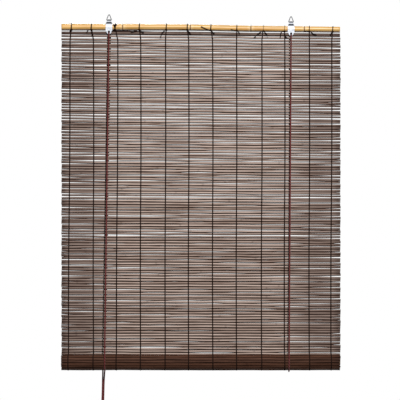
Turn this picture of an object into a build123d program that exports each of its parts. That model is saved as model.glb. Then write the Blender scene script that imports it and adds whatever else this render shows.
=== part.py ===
from build123d import *
import math
import os

# Bamboo roll-up blind, hung by two rings, with its lower end rolled up.
# Millimetres, +Z up, +X along the pole, front at -Y.
# The origin lies midway between the bearing points of the two rings.

# Top pole, a natural cane: its nodes and its bow, from the left end to the right end
blind_width = 600
blind_middle = 1.5
pole_left_radius = 6.6
pole_right_radius = 5.5
pole_depth = 25.1
pole_fall = 5.6
cane_node_shares = (-0.28, -0.037, 0.18, 0.372)
cane_bow_shares = (0, 0.18, 0.32, 0.04, 0.04, 0)
node_ridge = 0.6
node_ridge_length = 3.2
cane_bore_radius = 2.4
cane_bore_depth = 24

# Hanger straps, eyelets and rings
ring_spacing = 392
ring_wire_radius = 0.9
ring_base_width = 10.6
ring_top_width = 3.8
ring_bend_radius = 1.7
ring_bar_height = 14
strap_thickness = 0.8
strap_clearance = 0.25
strap_layer_gap = 0.2
strap_pole_folds = 20
strap_bar_folds = 10
strap_width = 14.3
strap_skirt = 1.2
strap_pinch_drop = 1.0
tongue_neck_drop = 3.2
neck_width = 7.4
tongue_width = 10.4
tongue_end_radius = 4.4
tongue_tail = 4.4
eyelet_bore_radius = 1.65
eyelet_barrel_radius = 2.2
eyelet_flange_radius = 2.8
eyelet_flange = 0.5
rivet_clearance = 0.05
anchor_hole_radius = 1.6
anchor_hole_offset = 3

# Slat mat: one thin slat, a wide gap for the cords, then the even rows
slat_count = 121
slat_thickness = 1.4
first_slat_width = 1.6
threading_gap = 3.3
mat_drop = 0.4
slat_top_share = 0.82
slat_bottom_share = 0.86
slat_width_uneven_share = 0.04
slat_place_uneven_share = 0.03
slat_end_uneven = 1.6
width_step_share = 0.618
place_step_share = 0.414
left_end_step_share = 0.732
right_end_step_share = 0.236

# Warp strings and the twists by which they part the slats
string_count = 12
string_margin = 18.1
string_thickness = 0.9
string_width = 2.4
string_clearance = 0.15
string_strap_gap = 0.8
string_neck_drop = 0.8
string_loop_sides = 12
slat_clearance = 0.1
twist_width = 1.2
twist_thickness = 0.7
twist_bite = 0.3
twist_stride = 5

# Roll
roll_depth = 744
roll_radius = 17.8
roll_lead = 1.2
roll_turn_pitch = 2.9
roll_slat_width = 3.9
roll_slat_pitch = 5.9
roll_web_thickness = 0.8
bottom_pole_radius = 4.6
core_clearance = 0.3

# Cords; the places of the pull cords are taken from the left clip and the axis of the roll
cord_radius = 1.3
cord_sides = 6
eyelet_bend_radius = 3
cord_clearance = 0.3
bight_shift = -8.7
right_bight_shift = -5
anchor_knot_radius = 2.1
anchor_knot_length = 4.6
anchor_drop = 8
back_cord_gap = 0.35
back_bend_radius = 3
left_exit_depth = 9.4
bight_steps = 9
cross_depth = 4.8
cord_tail = 12
cross_sag = 3
cord_over_gap = 0.3
pull_knot_radius = 4.2
pull_knot_chamfer = 1
pull_knot_height = 10
pull_knot_sides = 10
pull_left_places = (
    (-9.5, 9.1, 6), (-13.2, 10.3, -52), (-16.6, 10.0, -80), (-16.4, 8.5, -102), (-16.4, 8.5, -124),
)
pull_right_places = (
    (-13.4, 8.2, 16), (-13.9, 7.0, -42), (-13.3, 7.2, -80), (-13.6, 8.5, -102), (-13.6, 8.5, -124),
)

# How far a cut runs past the face it opens
overrun = 2

# How much of the shorter run a free bend takes
bend_run_share = 0.45

os.makedirs("parts", exist_ok=True)


def save(name, shape):
    export_step(shape, f"parts/{name}.step")


def uneven(index, step_share):
    return 2 * (index * step_share % 1) - 1


def cane_rise(x):
    share = (x - blind_middle) / blind_width
    stations = (-1 / 2, *cane_node_shares, 1 / 2)
    spans = zip(stations, stations[1:], cane_bow_shares, cane_bow_shares[1:])
    for start, end, low, high in spans:
        if share <= end:
            break
    bow = low + (high - low) * (share - start) / (end - start)
    return pole_fall * (bow - share)


left_x = -ring_spacing / 2
right_x = ring_spacing / 2
pole_height = -pole_depth - (cane_rise(left_x) + cane_rise(right_x)) / 2


def cane_axis(x):
    return pole_height + cane_rise(x)


def cane_radius(x):
    share = (x - blind_middle) / blind_width + 1 / 2
    return pole_left_radius + (pole_right_radius - pole_left_radius) * share


# Top pole

def cane_section(x, swell):
    plane = Plane(origin=(x, 0, cane_axis(x)), x_dir=(0, 1, 0), z_dir=(1, 0, 0))
    return plane * Circle(cane_radius(x) + swell)


pole_left_x = blind_middle - blind_width / 2
pole_right_x = blind_middle + blind_width / 2
cane_sections = [cane_section(pole_left_x, 0)]
for node_share in cane_node_shares:
    node_x = blind_middle + node_share * blind_width
    cane_sections.append(cane_section(node_x - node_ridge_length / 2, 0))
    cane_sections.append(cane_section(node_x, node_ridge))
    cane_sections.append(cane_section(node_x + node_ridge_length / 2, 0))
cane_sections.append(cane_section(pole_right_x, 0))
top_pole = loft(cane_sections, ruled=True)
for end_x, inward in ((pole_left_x, 1), (pole_right_x, -1)):
    mouth = (end_x - inward * overrun, 0, cane_axis(end_x))
    bore = Plane(origin=mouth, z_dir=(inward, 0, 0)) * Circle(cane_bore_radius)
    top_pole -= extrude(bore, cane_bore_depth + overrun)
save("top_pole", top_pole)


# Slat mat

mat_top = pole_height - pole_left_radius - mat_drop
mat_bottom = -roll_depth + roll_lead
rows_top = mat_top - first_slat_width - threading_gap
slat_pitch = (rows_top - mat_bottom) / (slat_count - 1)
string_spacing = (blind_width - 2 * string_margin) / (string_count - 1)


def string_place(index):
    x = pole_left_x + string_margin + index * string_spacing
    beside = (strap_width + string_width) / 2 + string_strap_gap
    for clip_x in (left_x, right_x):
        if abs(x - clip_x) < beside:
            x = clip_x + math.copysign(beside, x - clip_x)
    return x


string_xs = [string_place(index) for index in range(string_count)]


def slat_slope(row):
    return pole_fall / blind_width * (1 - row / (slat_count - 1))


def slat_row(row):
    if row == 0:
        return mat_top - first_slat_width / 2, first_slat_width
    depth_share = row / (slat_count - 1)
    width_share = slat_top_share + (slat_bottom_share - slat_top_share) * depth_share
    shift = 0
    if row > 1:
        width_share += slat_width_uneven_share * uneven(row, width_step_share)
        shift = slat_pitch * slat_place_uneven_share * uneven(row, place_step_share)
    width = slat_pitch * width_share
    return rows_top - slat_pitch * (row - 1) - width / 2 + shift, width


def slat_edge(row, x, side):
    centre, width = slat_row(row)
    return centre + side * width / 2 - (x - blind_middle) * slat_slope(row)


def slat(row):
    centre, width = slat_row(row)
    start = -blind_width / 2 + slat_end_uneven * (1 + uneven(row, left_end_step_share)) / 2
    end = blind_width / 2 - slat_end_uneven * (1 + uneven(row, right_end_step_share)) / 2
    bar = extrude(Plane.YZ * Rectangle(slat_thickness, width), end - start)
    tilt = math.degrees(math.atan(slat_slope(row)))
    return Pos(blind_middle, 0, centre) * Rot(0, tilt, 0) * Pos(start, 0, 0) * bar


def string_twist(row):
    x = string_xs[row * twist_stride % string_count]
    top = slat_edge(row, x, -1) + twist_bite
    bottom = slat_edge(row + 1, x, 1) - twist_bite
    return Pos(x, 0, (top + bottom) / 2) * Box(twist_width, twist_thickness, top - bottom)


slats = [slat(row) for row in range(slat_count)]
twists = [string_twist(row) for row in range(slat_count - 1)]
slat_mat = slats[0].fuse(*slats[1:], *twists)
save("slat_mat", slat_mat)


# Warp strings

def warp_string(x):
    axis = cane_axis(x)
    loop = cane_radius(x) + string_clearance
    leg = slat_thickness / 2 + slat_clearance
    neck = -cane_radius(x) - string_neck_drop
    length = axis + neck - mat_bottom

    def hairpin(grow, tail):
        foot = Pos(0, neck) * Rectangle(2 * (leg + grow), string_thickness)
        turn = RegularPolygon(loop + grow, string_loop_sides, major_radius=False)
        arch = make_hull(turn.edges() + foot.edges())
        legs = Pos(0, neck - (length + tail) / 2) * Rectangle(2 * (leg + grow), length + tail)
        return arch + legs

    profile = hairpin(string_thickness, 0) - hairpin(0, overrun)
    return Pos(x, 0, axis) * extrude(Plane.YZ * profile, string_width / 2, both=True)


for index, string_x in enumerate(string_xs):
    save(f"warp_string_{index + 1:02d}", warp_string(string_x))


# Hanger straps, eyelets and rings

def threading_height(x):
    return (slat_edge(0, x, -1) + slat_edge(1, x, 1)) / 2


def strap_inner_radius(x):
    return cane_radius(x) + strap_clearance


def anchor_height(x):
    return (cane_radius(x) + ring_bar_height - ring_wire_radius) / 2


def hanger_strap(x, inward):
    radius = cane_radius(x)
    inner = strap_inner_radius(x)
    eyelet = threading_height(x) - cane_axis(x)
    tongue_end = eyelet - tongue_tail
    pinch = -radius - strap_pinch_drop
    half_gap = strap_layer_gap / 2
    bar_radius = ring_wire_radius + strap_clearance
    round_pole = RegularPolygon(inner, strap_pole_folds, major_radius=False)
    round_bar = Pos(0, ring_bar_height) * RegularPolygon(bar_radius, strap_bar_folds, major_radius=False)
    at_pinch = Pos(half_gap - inner, pinch) * Rectangle(strap_layer_gap, strap_layer_gap)
    hollow = make_hull(round_pole.edges() + round_bar.edges() + at_pinch.edges())
    sheath = offset(hollow, strap_thickness, kind=Kind.INTERSECTION)
    tongue = Pos(half_gap - inner, (pinch + tongue_end) / 2)
    tongue_plate = tongue * Rectangle(2 * strap_thickness + strap_layer_gap, pinch - tongue_end)
    slit_top = Pos(half_gap - inner, (pinch + tongue_end - overrun) / 2)
    slit = slit_top * Rectangle(strap_layer_gap, pinch - tongue_end + overrun)
    folded = extrude(Plane.YZ * (sheath + tongue_plate - hollow - slit), strap_width, both=True)

    top = ring_bar_height + bar_radius + strap_thickness + overrun
    side = (
        (neck_width / 2, top),
        (neck_width / 2, ring_bar_height),
        (strap_width / 2, radius),
        (strap_width / 2, -radius - strap_skirt),
        (tongue_width / 2, -radius - tongue_neck_drop),
        (tongue_width / 2, tongue_end),
    )
    mirrored = tuple((-across, up) for across, up in reversed(side))
    front = make_face(Polyline(*side, *mirrored, close=True))
    front = fillet(front.vertices().group_by(Axis.Y)[0], tongue_end_radius)
    strap = folded & extrude(Plane.XZ * front, ring_bar_height, both=True)

    barrel = Circle(eyelet_barrel_radius + rivet_clearance)
    strap -= extrude(Plane.XZ * Pos(0, eyelet) * barrel, ring_bar_height, both=True)
    anchor = Pos(inward * anchor_hole_offset, anchor_height(x)) * Circle(anchor_hole_radius)
    strap -= extrude(Plane.XZ * anchor, -ring_bar_height)
    return Pos(x, 0, cane_axis(x)) * strap


def eyelet_rivet(x):
    front = -strap_inner_radius(x) - strap_thickness
    grip = 2 * strap_thickness + strap_layer_gap
    length = grip + 2 * eyelet_flange

    def disc(radius, start, depth):
        plane = Plane(origin=(x, start, threading_height(x)), z_dir=(0, 1, 0))
        return extrude(plane * Circle(radius), depth)

    rivet = disc(eyelet_barrel_radius, front - eyelet_flange, length)
    rivet += disc(eyelet_flange_radius, front - eyelet_flange, eyelet_flange)
    rivet += disc(eyelet_flange_radius, front + grip, eyelet_flange)
    return rivet - disc(eyelet_bore_radius, front - eyelet_flange - overrun, length + 2 * overrun)


def hanging_ring(x):
    rise = pole_depth + ring_wire_radius - ring_bar_height
    corners = (
        (-ring_base_width / 2, 0),
        (ring_base_width / 2, 0),
        (ring_top_width / 2, rise),
        (-ring_top_width / 2, rise),
    )
    path = Plane.XZ * FilletPolyline(*corners, radius=ring_bend_radius, close=True)
    wire = Plane(origin=path @ 0, z_dir=path % 0) * RegularPolygon(ring_wire_radius, cord_sides)
    return Pos(x, 0, cane_axis(x) + ring_bar_height) * sweep(wire, path=path)


for side_name, clip_x, inward in (("left", left_x, 1), ("right", right_x, -1)):
    save(f"{side_name}_hanger_strap", hanger_strap(clip_x, inward))
    save(f"{side_name}_eyelet", eyelet_rivet(clip_x))
    save(f"{side_name}_hanging_ring", hanging_ring(clip_x))


# Roll: the mat winds on from its back edge, down and under, towards the front

roll_slat_reach = math.hypot(roll_radius + slat_thickness / 2, roll_slat_width / 2)
roll_depth_y = -roll_radius
roll_inner_radius = bottom_pole_radius + core_clearance + slat_thickness / 2


def wound_slats():
    angle = (roll_lead / 2 + roll_slat_width / 2) / roll_radius
    radius = roll_radius - roll_turn_pitch * angle / (2 * math.pi)
    while radius > roll_inner_radius:
        yield angle, radius
        angle += roll_slat_pitch / radius
        radius = roll_radius - roll_turn_pitch * angle / (2 * math.pi)


def roll_profile():
    outer = []
    inner = []
    for angle, radius in wound_slats():
        centre = Vector(roll_depth_y + radius * math.cos(angle), -roll_depth - radius * math.sin(angle))
        along = Vector(-math.sin(angle), -math.cos(angle)) * (roll_slat_width / 2)
        out = Vector(math.cos(angle), -math.sin(angle))
        face = out * (slat_thickness / 2)
        web = out * (roll_web_thickness / 2)
        outer += [centre - along + web, centre - along + face, centre + along + face, centre + along + web]
        inner += [centre - along - face, centre + along - face]
    return make_face(Polyline(*outer[1:-1], *reversed(inner), close=True))


roll_start = Plane(origin=(pole_left_x, 0, 0), x_dir=(0, 1, 0), z_dir=(1, 0, 0))
save("mat_roll", extrude(roll_start * roll_profile(), blind_width))

bottom_pole = roll_start * Pos(roll_depth_y, -roll_depth) * Circle(bottom_pole_radius)
save("bottom_pole", extrude(bottom_pole, blind_width))


# Cords

def free_radii(points):
    radii = []
    for before, at, after in zip(points, points[1:], points[2:]):
        arrive = Vector(at) - Vector(before)
        leave = Vector(after) - Vector(at)
        half_turn = math.radians(arrive.get_angle(leave)) / 2
        radii.append(bend_run_share * min(arrive.length, leave.length) / math.tan(half_turn))
    return radii


def cord(name, points, radii):
    path = FilletPolyline(*points, radius=radii)
    section = Plane(origin=path @ 0, z_dir=path % 0) * RegularPolygon(cord_radius, cord_sides)
    tube = sweep(section, path=path)
    print(name, "length", round(path.length, 1), "bends", [round(radius, 1) for radius in radii],
          "volume over section by length", round(tube.volume / (section.area * path.length), 4))
    save(name, tube)


def straight_cord(name, start, end):
    run = Vector(end) - Vector(start)
    section = Plane(origin=start, z_dir=run) * RegularPolygon(cord_radius, cord_sides)
    print(name, "length", round(run.length, 1))
    save(name, extrude(section, run.length))


bight_radius = roll_slat_reach + cord_clearance + cord_radius
half_step = math.pi / bight_steps / 2


def cord_bight(foot_x):
    def at(radius, angle):
        return foot_x, roll_depth_y - radius * math.cos(angle), -roll_depth - radius * math.sin(angle)

    corner_radius = bight_radius / math.cos(half_step)
    corners = [at(corner_radius, half_step * (2 * step + 1)) for step in range(bight_steps)]
    path = Polyline(at(bight_radius, 0), *corners, at(bight_radius, math.pi))
    section = Plane(origin=path @ 0, z_dir=(0, 0, -1)) * RegularPolygon(cord_radius, cord_sides)
    return sweep(section, path=path, transition=Transition.RIGHT)


def anchor_knot(start, bend, end):
    arrive = bend + (start - bend).normalized() * back_bend_radius
    leave = bend + (end - bend).normalized() * back_bend_radius
    path = Polyline(start, arrive, leave, end)
    section = Plane(origin=start, z_dir=bend - start) * RegularPolygon(cord_radius, cord_sides)
    knot_end = start - Vector(anchor_knot_length / 2, 0, 0)
    knot = Plane(origin=knot_end, z_dir=(1, 0, 0)) * RegularPolygon(anchor_knot_radius, cord_sides)
    return extrude(knot, anchor_knot_length) + sweep(section, path=path, transition=Transition.RIGHT)


def lift_cord(side_name, x, inward, foot_x):
    """Makes one lift cord's strands and returns the two points at which it turns into the eyelet."""
    foot_height = -roll_depth + cord_clearance
    strap_reach = strap_inner_radius(x) + strap_thickness
    front_foot = Vector(foot_x, roll_depth_y - bight_radius, foot_height)
    front_bend = Vector(x, -strap_reach - eyelet_flange - eyelet_bend_radius, threading_height(x))
    front_top = front_bend + (front_foot - front_bend).normalized() * cord_tail
    straight_cord(f"{side_name}_front_cord", front_foot, front_top)
    save(f"{side_name}_cord_bight", cord_bight(foot_x))

    anchor = Vector(x + inward * anchor_hole_offset, 0, cane_axis(x) + anchor_height(x))
    back_foot = Vector(foot_x, roll_depth_y + bight_radius, foot_height)
    back_bend = anchor + Vector(0, strap_reach + back_cord_gap + cord_radius, 0)
    back_top = back_bend + (back_foot - back_bend).normalized() * (anchor_height(x) + anchor_drop)
    straight_cord(f"{side_name}_back_cord", back_foot, back_top)
    save(f"{side_name}_anchor_knot", anchor_knot(anchor, back_bend, back_top))
    return front_top, front_bend


left_top, left_bend = lift_cord("left", left_x, 1, left_x + bight_shift)
right_top, right_bend = lift_cord("right", right_x, -1, right_x + right_bight_shift)
eyelet_bends = [eyelet_bend_radius, eyelet_bend_radius]

pull_frame = Vector(left_x, 0, -roll_depth)
pull_left_points = [pull_frame + Vector(place) for place in pull_left_places]
pull_right_points = [pull_frame + Vector(place) for place in pull_right_places]

left_exit = Vector(left_x, left_exit_depth, threading_height(left_x))
left_route = (left_top, left_bend, left_exit, *pull_left_points)
cord("left_pull_cord", left_route, eyelet_bends + free_radii(left_route[2:]))

# The right cord crosses behind the mat, sags a little and is led over the left cord
lap_radius = 2 * cord_radius + cord_over_gap
right_exit = Vector(right_x, cross_depth, threading_height(right_x))
lap_bend = Vector(left_x - lap_radius, cross_depth, threading_height(left_x) + lap_radius)
cross_middle = (right_exit + lap_bend) / 2 - Vector(0, 0, cross_sag)
cross_radii = free_radii((right_exit, cross_middle, lap_bend))
right_route = (right_top, right_bend, right_exit, cross_middle, lap_bend, *pull_right_points)
cord("right_pull_cord", right_route,
     eyelet_bends + cross_radii + [lap_radius] + free_radii((lap_bend, *pull_right_points)))

# Pull knot under the two cords' ends
knot_top = (pull_left_points[-1] + pull_right_points[-1]) / 2
knot_foot = knot_top - Vector(0, 0, pull_knot_height)
pull_knot = extrude(Pos(*knot_foot) * RegularPolygon(pull_knot_radius, pull_knot_sides), pull_knot_height)
knot_rims = pull_knot.edges().group_by(Axis.Z)
save("pull_knot", chamfer(knot_rims[0] + knot_rims[-1], pull_knot_chamfer))
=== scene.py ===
import math
import random

import bpy
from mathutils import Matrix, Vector


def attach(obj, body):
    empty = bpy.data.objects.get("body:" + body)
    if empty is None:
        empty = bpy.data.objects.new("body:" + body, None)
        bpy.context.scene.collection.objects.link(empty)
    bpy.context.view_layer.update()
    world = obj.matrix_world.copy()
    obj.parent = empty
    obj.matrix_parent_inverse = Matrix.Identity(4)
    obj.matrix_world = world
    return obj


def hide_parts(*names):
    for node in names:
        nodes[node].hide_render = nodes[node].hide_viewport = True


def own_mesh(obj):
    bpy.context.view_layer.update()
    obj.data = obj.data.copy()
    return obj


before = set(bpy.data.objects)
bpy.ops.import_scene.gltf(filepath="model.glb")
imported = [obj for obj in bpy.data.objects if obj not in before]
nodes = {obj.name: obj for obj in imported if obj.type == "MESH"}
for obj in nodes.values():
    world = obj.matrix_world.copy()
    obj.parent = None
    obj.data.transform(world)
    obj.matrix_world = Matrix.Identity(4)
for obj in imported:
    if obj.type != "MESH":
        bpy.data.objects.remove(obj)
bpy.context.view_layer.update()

# Top pole: one natural bamboo cane, sawn at both ends. It is a little crooked, because each
# length between two nodes grew straight and the cane changed direction at the node.
# The skin is left as it grew, scraped and polished, so it is yellow, streaked and shiny.
MM = 0.001
POLE_LEFT = -298.5 * MM
POLE_RIGHT = 301.5 * MM
POLE_MIDDLE = 1.5 * MM
POLE_LENGTH = POLE_RIGHT - POLE_LEFT
POLE_HEIGHT = -25.617 * MM
POLE_FALL = 5.6 * MM
POLE_LEFT_RADIUS = 6.6 * MM
POLE_RIGHT_RADIUS = 5.5 * MM
CANE_NODE_SHARES = (-0.28, -0.037, 0.18, 0.372)
CANE_BOW_SHARES = (0, 0.18, 0.32, 0.04, 0.04, 0)
CANE_BORE_RADIUS = 2.4 * MM
CANE_BORE_DEPTH = 22 * MM
CANE_SIDES = 40
CANE_STEP = 4 * MM
CANE_EDGE = 0.4 * MM
CANE_SHARP_ANGLE = math.radians(50)
NODE_LIP_HEIGHT = 0.6 * MM
NODE_LIP_WIDTH = 1.1 * MM
NODE_WAIST_DEPTH = 0.25 * MM
NODE_WAIST_WIDTH = 1.2 * MM
NODE_WAIST_OFFSET = 2.6 * MM
NODE_STEP = 0.6 * MM
NODE_STEPS = 9


def pole_share(x):
    return (x - POLE_MIDDLE) / POLE_LENGTH


def pole_axis(x):
    """Height of the cane's centre at x: straight between nodes, and lower towards the right."""
    share = pole_share(x)
    stations = (-0.5, *CANE_NODE_SHARES, 0.5)
    for start, end, low, high in zip(stations, stations[1:], CANE_BOW_SHARES, CANE_BOW_SHARES[1:]):
        if share <= end:
            break
    bow = low + (high - low) * (share - start) / (end - start)
    return POLE_HEIGHT + POLE_FALL * (bow - share)


def pole_radius(x):
    share = pole_share(x) + 0.5
    return POLE_LEFT_RADIUS + (POLE_RIGHT_RADIUS - POLE_LEFT_RADIUS) * share


def new_piece(name, points, faces, material):
    """A mesh object at the origin, in the row frame."""
    mesh = bpy.data.meshes.new(name)
    mesh.from_pydata(points, [], faces)
    mesh.polygons.foreach_set("use_smooth", [True] * len(mesh.polygons))
    mesh.materials.append(material)
    mesh.update()
    piece = bpy.data.objects.new(name, mesh)
    bpy.context.scene.collection.objects.link(piece)
    return piece


def linear(hex_colour):
    """The linear colour of an sRGB hex value."""
    channels = [int(hex_colour[i:i + 2], 16) / 255 for i in (1, 3, 5)]
    return (*[c / 12.92 if c <= 0.04045 else ((c + 0.055) / 1.055) ** 2.4 for c in channels], 1)


def add_node(tree, kind, inputs=None, **settings):
    """A node with its settings, and with each input linked or set."""
    node = tree.nodes.new(kind)
    for name, value in settings.items():
        setattr(node, name, value)
    for name, value in (inputs or {}).items():
        if isinstance(value, bpy.types.NodeSocket):
            tree.links.new(value, node.inputs[name])
        else:
            node.inputs[name].default_value = value
    return node


def new_material(name):
    """A material, its tree, and the place in the frame that its patterns start from."""
    material = bpy.data.materials.new(name)
    material.use_nodes = True
    tree = material.node_tree
    tree.nodes.clear()
    return material, tree, add_node(tree, "ShaderNodeTexCoord").outputs["Object"]


# Polished bamboo skin: long pale and tan fibres, brown scars at the nodes with a waxy
# band beside each, and a satin gloss.
cane_skin, tree, place = new_material("polished_bamboo_cane")
skin = linear("#EBBE76")
skin_layers = {}
# The length and width of each layer's marks are in millimetres.
for layer, length, width, detail, roughness, low, high, most, tone in (
        ("fibres", 70, 1.1, 4, 0.6, 0.35, 0.68, 1, "#DBA455"),
        ("blotches", 45, 9, 3, 0.5, 0.46, 0.75, 0.75, "#BD8136"),
        ("streaks", 400, 2.2, 2, 0.5, 0.5, 0.6, 0.7, "#AE9152")):
    layer_place = add_node(tree, "ShaderNodeMapping", {
        "Vector": place, "Scale": (1 / (length * MM), 1 / (width * MM), 1 / (width * MM))})
    skin_layers[layer] = add_node(tree, "ShaderNodeTexNoise", {
        "Vector": layer_place.outputs[0], "Scale": 1, "Detail": detail, "Roughness": roughness}).outputs[0]
    share = add_node(tree, "ShaderNodeMapRange", {
        "Value": skin_layers[layer], "From Min": low, "From Max": high, "To Max": most})
    skin = add_node(tree, "ShaderNodeMix", {
        0: share.outputs[0], 6: skin, 7: linear(tone)}, data_type="RGBA").outputs[2]
along = add_node(tree, "ShaderNodeSeparateXYZ", {0: place}).outputs[0]
scar_distance = POLE_LENGTH
for node_share in CANE_NODE_SHARES:
    offset = add_node(tree, "ShaderNodeMath", {
        0: along, 1: POLE_MIDDLE + node_share * POLE_LENGTH}, operation="SUBTRACT")
    distance = add_node(tree, "ShaderNodeMath", {0: offset.outputs[0]}, operation="ABSOLUTE")
    scar_distance = add_node(tree, "ShaderNodeMath", {
        0: distance.outputs[0], 1: scar_distance}, operation="MINIMUM").outputs[0]
# The waxy band, and the scar in the middle of it.
for near, far, most, tone in ((1.5 * MM, 9 * MM, 0.55, "#F0D19A"), (0.7 * MM, 1.7 * MM, 0.9, "#6B431F")):
    share = add_node(tree, "ShaderNodeMapRange", {
        "Value": scar_distance, "From Min": near, "From Max": far, "To Min": most, "To Max": 0})
    skin = add_node(tree, "ShaderNodeMix", {
        0: share.outputs[0], 6: skin, 7: linear(tone)}, data_type="RGBA").outputs[2]
gloss = add_node(tree, "ShaderNodeMapRange", {
    "Value": skin_layers["blotches"], "To Min": 0.28, "To Max": 0.5})
ridges = add_node(tree, "ShaderNodeBump", {
    "Height": skin_layers["fibres"], "Strength": 0.25, "Distance": 0.2 * MM})
surface = add_node(tree, "ShaderNodeBsdfPrincipled", {
    "Base Color": skin, "Roughness": gloss.outputs[0], "Normal": ridges.outputs[0],
    "IOR": 1.5})
add_node(tree, "ShaderNodeOutputMaterial", {0: surface.outputs[0]})


def node_swell(x):
    """The lip and groove of a cane node: a ridge, with a narrow waist on its left."""
    swell = 0
    for node_share in CANE_NODE_SHARES:
        offset = x - (POLE_MIDDLE + node_share * POLE_LENGTH)
        swell += NODE_LIP_HEIGHT * math.exp(-(offset / NODE_LIP_WIDTH) ** 2)
        swell -= NODE_WAIST_DEPTH * math.exp(-((offset + NODE_WAIST_OFFSET) / NODE_WAIST_WIDTH) ** 2)
    return swell


cane_xs = {POLE_LEFT + CANE_EDGE, POLE_RIGHT - CANE_EDGE}
cane_xs.update(POLE_LEFT + CANE_STEP * step for step in range(1, int(POLE_LENGTH / CANE_STEP)))
for node_share in CANE_NODE_SHARES:
    node_x = POLE_MIDDLE + node_share * POLE_LENGTH
    cane_xs.update(node_x + NODE_STEP * step for step in range(-NODE_STEPS, NODE_STEPS + 1))
cane_rings = [(POLE_LEFT + CANE_BORE_DEPTH, CANE_BORE_RADIUS), (POLE_LEFT, CANE_BORE_RADIUS),
              (POLE_LEFT, pole_radius(POLE_LEFT) - CANE_EDGE)]
cane_rings += [(x, pole_radius(x) + node_swell(x)) for x in sorted(cane_xs)]
cane_rings += [(POLE_RIGHT, pole_radius(POLE_RIGHT) - CANE_EDGE), (POLE_RIGHT, CANE_BORE_RADIUS),
               (POLE_RIGHT - CANE_BORE_DEPTH, CANE_BORE_RADIUS)]
cane_points = []
for x, radius in cane_rings:
    for side in range(CANE_SIDES):
        angle = math.tau * side / CANE_SIDES
        cane_points.append((x, radius * math.cos(angle), pole_axis(x) + radius * math.sin(angle)))


def ring_faces(ring_count, sides, closed=False):
    """Quads between rings of points, with the ends capped or the last ring joined to the first."""
    faces = []
    for ring in range(ring_count if closed else ring_count - 1):
        here, there = ring * sides, (ring + 1) % ring_count * sides
        for side in range(sides):
            following = (side + 1) % sides
            faces.append((here + side, here + following, there + following, there + side))
    if not closed:
        faces.append(tuple(reversed(range(sides))))
        faces.append(tuple(range((ring_count - 1) * sides, ring_count * sides)))
    return faces


top_pole = new_piece("cane_pole", cane_points, ring_faces(len(cane_rings), CANE_SIDES), cane_skin)
top_pole.data.set_sharp_from_angle(angle=CANE_SHARP_ANGLE)
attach(top_pole, "head")
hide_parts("top_pole")

# Hanger straps and eyelets: strips of zinc-plated steel, folded round the ring's bar and the
# pole and riveted through both layers below it. They keep their CAD shapes.
# The plating is bright, faintly brushed across the strip, with dull patches from handling. It is painted
# dark in the bend over the pole, a painted reflection of a dark room above, it is darker over the fold at
# the ring's bar, and it is painted black in the eyelet, as painted shade inside the hole.
CLIP_X = 196 * MM
EYELET_DROP = 10.75 * MM


def clip_places(tree, place):
    """The height over the pole's centre at the nearest clip, and the distance from its eyelet."""
    at = add_node(tree, "ShaderNodeSeparateXYZ", {0: place})
    slope = (pole_axis(CLIP_X) - pole_axis(-CLIP_X)) / (2 * CLIP_X)
    level = add_node(tree, "ShaderNodeMath", {
        0: at.outputs[0], 1: -slope, 2: at.outputs[2]}, operation="MULTIPLY_ADD")
    above = add_node(tree, "ShaderNodeMath", {
        0: level.outputs[0], 1: (pole_axis(CLIP_X) + pole_axis(-CLIP_X)) / 2}, operation="SUBTRACT")
    reach = add_node(tree, "ShaderNodeMath", {0: at.outputs[0]}, operation="ABSOLUTE")
    beside = add_node(tree, "ShaderNodeMath", {0: reach.outputs[0], 1: CLIP_X}, operation="SUBTRACT")
    over = add_node(tree, "ShaderNodeMath", {0: above.outputs[0], 1: EYELET_DROP}, operation="ADD")
    offset = add_node(tree, "ShaderNodeCombineXYZ", {0: beside.outputs[0], 1: over.outputs[0]})
    distance = add_node(tree, "ShaderNodeVectorMath", {0: offset.outputs[0]}, operation="LENGTH")
    return above.outputs[0], distance.outputs["Value"]


plated_steel, tree, place = new_material("zinc_plated_steel")
brush_place = add_node(tree, "ShaderNodeMapping", {
    "Vector": place, "Scale": (1 / (6 * MM), 1 / (0.5 * MM), 1 / (0.5 * MM))})
brushing = add_node(tree, "ShaderNodeTexNoise", {
    "Vector": brush_place.outputs[0], "Scale": 1, "Detail": 3})
handling = add_node(tree, "ShaderNodeTexNoise", {
    "Vector": place, "Scale": 1 / (4 * MM), "Detail": 3})
plating = add_node(tree, "ShaderNodeMix", {
    0: handling.outputs[0], 6: linear("#AEB1B6"), 7: linear("#8D9096")}, data_type="RGBA")
above_pole, eyelet_distance = clip_places(tree, place)
# Painted reflection: the bend over the pole is painted dark, as the reflection of a dark room above.
into_bend = add_node(tree, "ShaderNodeMapRange", {
    "Value": above_pole, "From Min": 5.9 * MM, "From Max": 6.6 * MM, "To Max": 0.95})
out_of_bend = add_node(tree, "ShaderNodeMapRange", {
    "Value": above_pole, "From Min": 10.4 * MM, "From Max": 11.4 * MM, "To Min": 1, "To Max": 0})
painted_bend_reflection = add_node(tree, "ShaderNodeMath", {
    0: into_bend.outputs[0], 1: out_of_bend.outputs[0]}, operation="MULTIPLY")
# Darker over the fold at the ring's bar.
ring_fold_darkening = add_node(tree, "ShaderNodeMapRange", {
    "Value": above_pole, "From Min": 12.2 * MM, "From Max": 12.9 * MM, "To Max": 0.9})
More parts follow.
